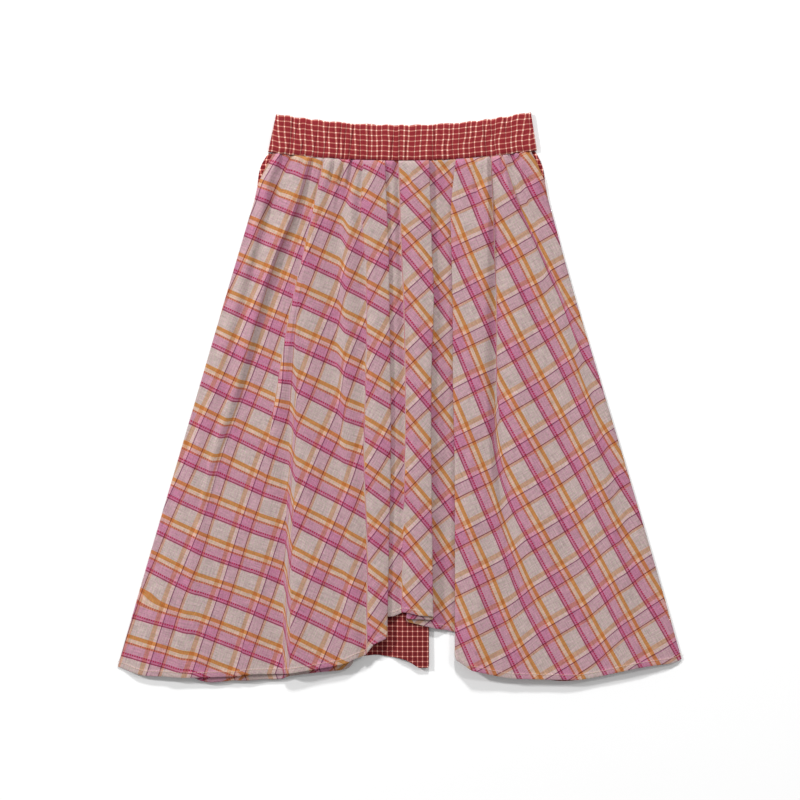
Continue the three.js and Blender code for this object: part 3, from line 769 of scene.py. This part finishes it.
def plaidMaterial():
    material, tree = newMaterial("biasPlaid")
    a, b, cloth = clothCounts(tree)
    repeatA, repeatB = plaid["orangeRepeat"] * mm, plaid["tanRepeat"] * mm
    shareA = tree.math("FRACT", tree.math("DIVIDE", tree.math("ADD", a, repeatA * 40), repeatA))
    shareB = tree.math("FRACT", tree.math("DIVIDE", tree.math("ADD", b, repeatB * 40), repeatB))
    stops = [(at / plaid["orangeRepeat"], linear(*rgb)) for at, *rgb in orangeSet]
    colourA = tree.ramp(shareA, stops)
    plain, headroom = linear(*ground), 0.85  # keeps the second ramp below 1
    relative = []
    for at, *rgb in tanSet:
        ratio = tuple(headroom * value / bare for value, bare in zip(linear(*rgb)[:3], plain))
        relative.append((at / plaid["tanRepeat"], ratio + (1.0,)))
    colourB = tree.ramp(shareB, relative)
    both = tree.add("ShaderNodeMix", {0: 1.0, 6: colourA, 7: colourB}, data_type="RGBA",
                    blend_type="MULTIPLY")
    dotCount = tree.math("DIVIDE", tree.math("ADD", b, 4.0), plaid["dotPitch"] * mm)
    dotRun = tree.math("FRACT", dotCount)
    dotOn = tree.math("LESS_THAN", dotRun, 0.5)
    base = both.outputs[2]
    for centre, halfWidth, colour, strength in dotted:
        aside = tree.math("ABSOLUTE", tree.math("SUBTRACT", shareA, centre / plaid["orangeRepeat"]))
        inside = tree.math("LESS_THAN", aside, halfWidth / plaid["orangeRepeat"])
        share = tree.math("MULTIPLY", tree.math("MULTIPLY", dotOn, inside), strength)
        base = tree.add("ShaderNodeMix", {0: share, 6: base, 7: linear(*colour)},
                        data_type="RGBA").outputs[2]
    streaks = []
    for along, across in ((60.0, 1500.0), (60.0, 640.0)):
        for scale in ((across, along, 1.0), (along, across, 1.0)):
            stretched = tree.add("ShaderNodeMapping", {"Vector": cloth, "Scale": scale}).outputs[0]
            streaks.append(tree.noise(stretched, 1.0, 1.0))
    total = tree.math("ADD", tree.math("ADD", streaks[0], streaks[1]),
                      tree.math("ADD", streaks[2], streaks[3]))
    tone = tree.math("MULTIPLY", tree.math("SUBTRACT", total, 2.0), plaid["streaks"])
    tone = tree.math("MULTIPLY", tree.math("ADD", tone, 1.0), plaid["brightness"] / headroom)
    patch = tree.noise(cloth, 430.0, 1.0)
    hue = tree.noise(cloth, 370.0, 1.0)
    patch = tree.math("MULTIPLY", tree.math("SUBTRACT", patch, 0.5), plaid["mottle"])
    tone = tree.math("MULTIPLY", tone, tree.math("ADD", patch, 1.0))
    tint = tree.add("ShaderNodeVectorMath", {0: plaid["tint"], 3: tree.math("SUBTRACT", hue, 0.5)},
                    operation="SCALE")
    tint = tree.add("ShaderNodeVectorMath", {0: tint.outputs[0], 1: (1, 1, 1)}, operation="ADD")
    tinted = tree.add("ShaderNodeVectorMath", {0: base, 1: tint.outputs[0]}, operation="MULTIPLY")
    varied = tree.add("ShaderNodeVectorMath", {0: tinted.outputs[0], 3: tone}, operation="SCALE")
    clothShader(tree, varied.outputs[0], plaid, a, b, cloth)
    return material


check = {
    "repeat": 6.9,  # mm between the pale lines
    "line": 1.4,  # mm, how wide they are
    "yarn": 0.5,
    "roughness": 0.88,
    "sheen": 0.12,
}


def checkMaterial(name, red, single, crossing, paintedLightNearBand=0.0):
    material, tree = newMaterial(name)
    a, b, cloth = clothCounts(tree)
    repeat = check["repeat"] * mm
    lines = []
    for way in (a, b):
        share = tree.math("FRACT", tree.math("DIVIDE", tree.math("ADD", way, repeat * 300), repeat))
        lines.append(tree.math("LESS_THAN", share, check["line"] / check["repeat"]))
    count = tree.math("DIVIDE", tree.math("ADD", lines[0], lines[1]), 2.0)
    colour = tree.add("ShaderNodeValToRGB", {"Fac": count})
    ramp = colour.color_ramp
    ramp.elements[0].color, ramp.elements[1].color = linear(*red), linear(*crossing)
    ramp.elements.new(0.5).color = linear(*single)
    blotch = tree.noise(cloth, 420.0, 2.0)
    tone = tree.math("ADD", tree.math("MULTIPLY", tree.math("SUBTRACT", blotch, 0.5), 0.35), 1.0)
    if paintedLightNearBand:  # painted light: lighter over the first few centimetres below the band, so the darker copy's painted shade eases where the back shows at the hips
        down = tree.add("ShaderNodeMapRange", {"Value": a, "From Min": 0.03, "From Max": 0.16,
                                               "To Min": paintedLightNearBand, "To Max": 1.0}).outputs[0]
        tone = tree.math("MULTIPLY", tone, down)
    varied = tree.add("ShaderNodeVectorMath", {0: colour.outputs["Color"], 3: tone},
                      operation="SCALE")
    clothShader(tree, varied.outputs[0], check, a, b, cloth)
    return material


# Hem stitches: small rolls of thread set along a line by a node tree.
stitch = {
    "pitch": 3.6,  # mm from one stitch to the next
    "length": 2.7,
    "width": 0.55,
    "share": 0.9905,  # how far down the cloth the row runs
    "lift": 0.12,  # mm above the cloth
}


def threadMaterial(name, colour):
    material, tree = newMaterial(name)
    place = tree.add("ShaderNodeTexCoord").outputs["Object"]
    noise = tree.noise(place, 900.0, 2.0)
    tone = tree.math("ADD", tree.math("MULTIPLY", noise, 0.5), 0.75)
    varied = tree.add("ShaderNodeVectorMath", {0: linear(*colour)[:3], 3: tone}, operation="SCALE")
    bump = tree.add("ShaderNodeBump", {"Height": noise, "Strength": 0.4, "Distance": 0.0003})
    shader = tree.add("ShaderNodeBsdfPrincipled", {
        "Base Color": varied.outputs[0], "Roughness": 0.7, "Normal": bump.outputs[0]})
    tree.add("ShaderNodeOutputMaterial", {"Surface": shader.outputs[0]})
    return material


def stitchTree(material):
    group = bpy.data.node_groups.new("stitchRow", "GeometryNodeTree")

    def socket(name, way, kind):
        made = group.interface.new_socket(name, in_out=way, socket_type="NodeSocket" + kind)
        return made.identifier

    socket("Line", "INPUT", "Geometry")
    sizes = {name: socket(name, "INPUT", "Float") for name in ("Pitch", "Length", "Width")}
    socket("Stitches", "OUTPUT", "Geometry")
    tree = Tree(group)
    given = tree.add("NodeGroupInput").outputs
    line = tree.add("GeometryNodeMeshToCurve", {"Mesh": given["Line"]}).outputs["Curve"]
    spaced = tree.add("GeometryNodeResampleCurve", {"Curve": line, "Length": given["Pitch"]},
                      mode="LENGTH").outputs["Curve"]
    radius = tree.math("MULTIPLY", given["Width"], 0.5)
    roll = tree.add("GeometryNodeMeshCylinder", {"Vertices": 6, "Radius": radius,
                                                 "Depth": given["Length"]}).outputs["Mesh"]
    tangent = tree.add("GeometryNodeInputTangent").outputs[0]
    turned = tree.add("FunctionNodeAlignRotationToVector", {"Vector": tangent},
                      axis="Z").outputs["Rotation"]
    placed = tree.add("GeometryNodeInstanceOnPoints", {"Points": spaced, "Instance": roll,
                                                       "Rotation": turned}).outputs[0]
    real = tree.add("GeometryNodeRealizeInstances", {"Geometry": placed}).outputs[0]
    finished = tree.add("GeometryNodeSetMaterial", {"Geometry": real, "Material": material})
    tree.add("NodeGroupOutput", {"Stitches": finished.outputs[0]})
    return group, sizes


def stitchRow(name, columns, middle, shares, thickness, material):
    row = int(np.argmin(np.abs(shares - stitch["share"])))
    normal = np.cross(np.gradient(middle[row], axis=0), middle[row - 1] - middle[row + 1])
    normal /= np.linalg.norm(normal, axis=1, keepdims=True)
    raised = normal * (thickness / 2 + stitch["lift"])
    points = (middle[row] - centring + raised) * mm
    flat = [k for k, column in enumerate(columns) if "zones" in column]
    edges = [(p, q) for p, q in zip(range(len(flat)), range(1, len(flat)))
             if flat[q] == flat[p] + 1 and not columns[flat[p]].get("breaks")]
    mesh = bpy.data.meshes.new(name)
    mesh.from_pydata(points[flat].tolist(), edges, [])
    line = bpy.data.objects.new(name + "Line", mesh)
    bpy.context.scene.collection.objects.link(line)
    group, sizes = stitchTree(material)
    modifier = line.modifiers.new("stitches", "NODES")
    modifier.node_group = group
    for label, size in (("Pitch", "pitch"), ("Length", "length"), ("Width", "width")):
        modifier[sizes[label]] = stitch[size] * mm
    evaluated = line.evaluated_get(bpy.context.evaluated_depsgraph_get())
    result = bpy.data.meshes.new_from_object(evaluated)
    bpy.data.objects.remove(line)
    piece = bpy.data.objects.new(name, result)
    bpy.context.scene.collection.objects.link(piece)
    if not result.materials:
        result.materials.append(material)
    return piece


plaidCloth = plaidMaterial()
checkCloth = checkMaterial("redCheck", (134, 29, 37), (184, 108, 96), (250, 220, 202))
# a darker copy of the red check for the back panel: painted shade where the front lies over it,
# lifted towards the band's colours just below the band
checkPaintedShade = checkMaterial("redCheckPaintedShade", (101, 12, 19), (170, 90, 82), (228, 190, 172), 1.45)
frontPanel.data.materials.append(plaidCloth)
hemCurlPiece.data.materials.append(plaidCloth)
backPanel.data.materials.append(checkPaintedShade)
for piece in (waistbandFront, waistbandBack):
    piece.data.materials.append(checkCloth)
hemStitches = stitchRow("hemStitches", frontColumns, frontMiddle, rowShares, panel["hemCloth"],
                        threadMaterial("paleThread", (206, 176, 160)))
backHemStitches = stitchRow("backHemStitches", backColumns, backMiddle, backShares, panel["cloth"],
                            threadMaterial("redThread", (120, 26, 34)))
print("finishes made; stitches:", len(hemStitches.data.polygons),
      len(backHemStitches.data.polygons))

studio = {
    "scale": 1.284,  # mm of the surface to one pixel of the picture
    "pictureSide": 800,
    "middle": (1.93, -3.21),  # mm, what the camera looks straight down at
    "level": 6.0,  # mm, the height at which that scale holds
    "lens": 100.0,
    "sensor": 36.0,
    "sky": 0.38,
    "floorShade": 0.95,
    "floorDrop": 0.4,  # mm from the cloth down to the floor
    "lampSize": 0.9,
    "lamps": {  # place in metres and power
        "lampLeft": ((-6.75, 3.9, 4.5), 480.0),
        "lampRight": ((4.87, 4.09, 6.35), 135.0),
        "lampTop": ((0.2, 7.6, 4.6), 500.0),
    },
}

bpy.ops.mesh.primitive_plane_add(size=20, location=(0, 0, -studio["floorDrop"] * mm))
floor = bpy.context.object
floor.name = "floor"
paper, paperTree = newMaterial("paleFloor")
paperShader = paperTree.add("ShaderNodeBsdfPrincipled", {
    "Base Color": (studio["floorShade"],) * 3 + (1,), "Roughness": 0.9, "Specular IOR Level": 0.1})
paperTree.add("ShaderNodeOutputMaterial", {"Surface": paperShader.outputs[0]})
floor.data.materials.append(paper)

world = bpy.context.scene.world or bpy.data.worlds.new("studio")
bpy.context.scene.world = world
world.use_nodes = True
background = world.node_tree.nodes["Background"]
background.inputs["Color"].default_value = (1, 1, 1, 1)
background.inputs["Strength"].default_value = studio["sky"]

# round lamps, turned towards the skirt's middle
for name, (place, power) in studio["lamps"].items():
    light = bpy.data.lights.new(name, "AREA")
    light.shape, light.size, light.energy = "DISK", studio["lampSize"], power
    lamp = bpy.data.objects.new(name, light)
    lamp.location = place
    aim = -np.array(place)
    yaw, pitch = math.atan2(aim[1], aim[0]), math.acos(-aim[2] / np.linalg.norm(aim))
    lamp.rotation_euler = (pitch, 0, yaw - math.pi / 2)
    bpy.context.scene.collection.objects.link(lamp)

distance = studio["pictureSide"] * studio["scale"] * studio["lens"] / studio["sensor"]
cameraData = bpy.data.cameras.new("camera")
cameraData.lens, cameraData.sensor_width = studio["lens"], studio["sensor"]
camera = bpy.data.objects.new("camera", cameraData)
camera.location = (np.array([*studio["middle"], distance + studio["level"]]) - centring) * mm
bpy.context.scene.collection.objects.link(camera)
bpy.context.scene.camera = camera
bpy.context.scene.view_settings.view_transform = "Standard"
print("studio ready")

for piece, node, slotName in ((frontPanel, "front_panel", "plaid_cotton"),
                              (backPanel, "back_panel", "check_cotton"),
                              (waistbandFront, "waistband_front", "check_cotton"),
                              (waistbandBack, "waistband_back", "check_cotton")):
    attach(piece, "root")
    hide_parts(node)
for piece, slotName in ((hemStitches, "plaid_cotton"), (hemCurlPiece, "plaid_cotton"),
                        (backHemStitches, "check_cotton")):
    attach(piece, "root")

for piece in (frontPanel, backPanel, waistbandFront, waistbandBack):
    area = sum(face.area for face in piece.data.polygons) / 2
    print(piece.name, "cloth area", round(area, 4), "faces", len(piece.data.polygons))
